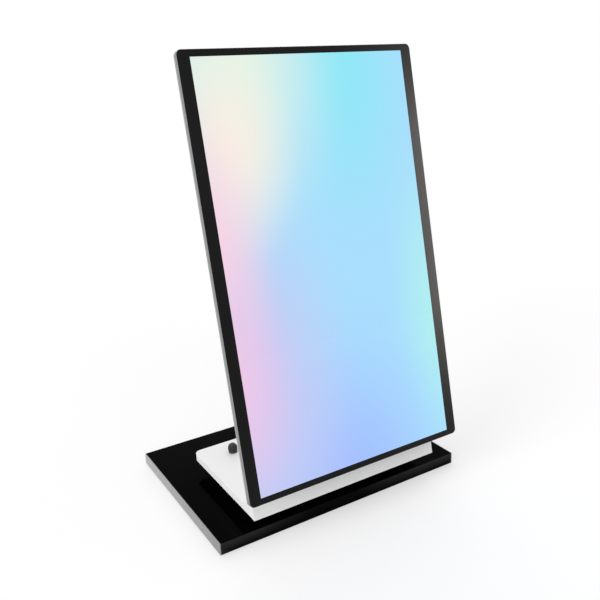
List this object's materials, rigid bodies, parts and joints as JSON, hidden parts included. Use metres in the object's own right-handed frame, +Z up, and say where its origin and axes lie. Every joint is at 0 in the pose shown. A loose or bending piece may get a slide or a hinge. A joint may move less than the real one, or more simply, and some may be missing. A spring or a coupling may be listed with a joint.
{
  "type": "countertop mirror",
  "caption": "Portrait mirror panel on friction tilt hinges, on a bent white stand that swivels above a flat black base slab.",
  "frame": {"origin": "centre of the base slab's footprint, on the surface that it stands on", "axes": "+X to the viewer's right, +Y away from the viewer, +Z up"},
  "size_m": [0.3, 0.2433, 0.4704],
  "materials": {
    "pad_rubber": "matt antislip sheet",
    "slab_black": "polished black acrylic",
    "band_grey": "satin grey edge band",
    "steel_zinc": "zinc plated",
    "nylon_natural": "moulded, natural",
    "stand_white": "white acrylic, satin gloss",
    "insert_brass": "turned",
    "knob_grey": "knurled dark grey",
    "mirror_glass": "silvered glass with black printed border",
    "rim_silver": "satin anodised",
    "board_black": "composite board",
    "cover_black": "fine textured black"
  },
  "bodies": {
    "base": {"antislip_pad": "pad_rubber", "base_screw_1": "steel_zinc", "base_screw_2": "steel_zinc", "base_screw_3": "steel_zinc", "base_screw_4": "steel_zinc", "base_slab": "slab_black", "edge_band_left": "band_grey", "edge_band_right": "band_grey", "friction_ring": "nylon_natural", "pivot_bolt": "steel_zinc", "pivot_disc_spring": "steel_zinc", "pivot_nut": "steel_zinc", "pivot_washer": "nylon_natural", "swivel_stop_pin": "steel_zinc", "turntable_base": "steel_zinc"},
    "stand": {"hinge_bolt_left": "steel_zinc", "hinge_bolt_right": "steel_zinc", "hinge_disc_spring_left": "steel_zinc", "hinge_disc_spring_right": "steel_zinc", "hinge_nut_left": "steel_zinc", "hinge_nut_right": "steel_zinc", "hinge_washer_inner_left": "nylon_natural", "hinge_washer_inner_right": "nylon_natural", "hinge_washer_outer_left": "nylon_natural", "hinge_washer_outer_right": "nylon_natural", "stand_bracket_left": "steel_zinc", "stand_bracket_right": "steel_zinc", "stand_bracket_screw_1": "steel_zinc", "stand_bracket_screw_2": "steel_zinc", "stand_bracket_screw_3": "steel_zinc", "stand_bracket_screw_4": "steel_zinc", "stand_plate": "stand_white", "stand_screw_1": "steel_zinc", "stand_screw_2": "steel_zinc", "stand_screw_3": "steel_zinc", "stand_screw_4": "steel_zinc", "thread_insert": "insert_brass", "turntable_top": "steel_zinc"},
    "panel": {"carrier_board": "board_black", "cover_screw_1": "steel_zinc", "cover_screw_2": "steel_zinc", "cover_screw_3": "steel_zinc", "cover_screw_4": "steel_zinc", "cover_screw_5": "steel_zinc", "cover_screw_6": "steel_zinc", "mirror_glass": "mirror_glass", "panel_bracket_left": "steel_zinc", "panel_bracket_right": "steel_zinc", "panel_bracket_screw_1": "steel_zinc", "panel_bracket_screw_2": "steel_zinc", "panel_bracket_screw_3": "steel_zinc", "panel_bracket_screw_4": "steel_zinc", "panel_rim": "rim_silver", "rear_cover": "cover_black"},
    "lock": {"lock_knob": "knob_grey", "lock_stud": "steel_zinc", "lock_tip": "nylon_natural"}
  },
  "joints": [
    {"name": "swivel", "type": "hinge", "parent": "base", "child": "stand", "pos_m": [0, -0.039, 0.0195], "axis": [0, 0, 1], "range_deg": [-45, 45]},
    {"name": "tilt", "type": "hinge", "parent": "stand", "child": "panel", "pos_m": [0, -0.08844, 0.20417], "axis": [-1, 0, 0], "range_deg": [-6, 14]},
    {"name": "lock_turn", "type": "hinge", "parent": "stand", "child": "lock", "pos_m": [-0.0768, 0.009, 0.0376], "axis": [0, 0, 1], "range_deg": [0, 180]}
  ]
}
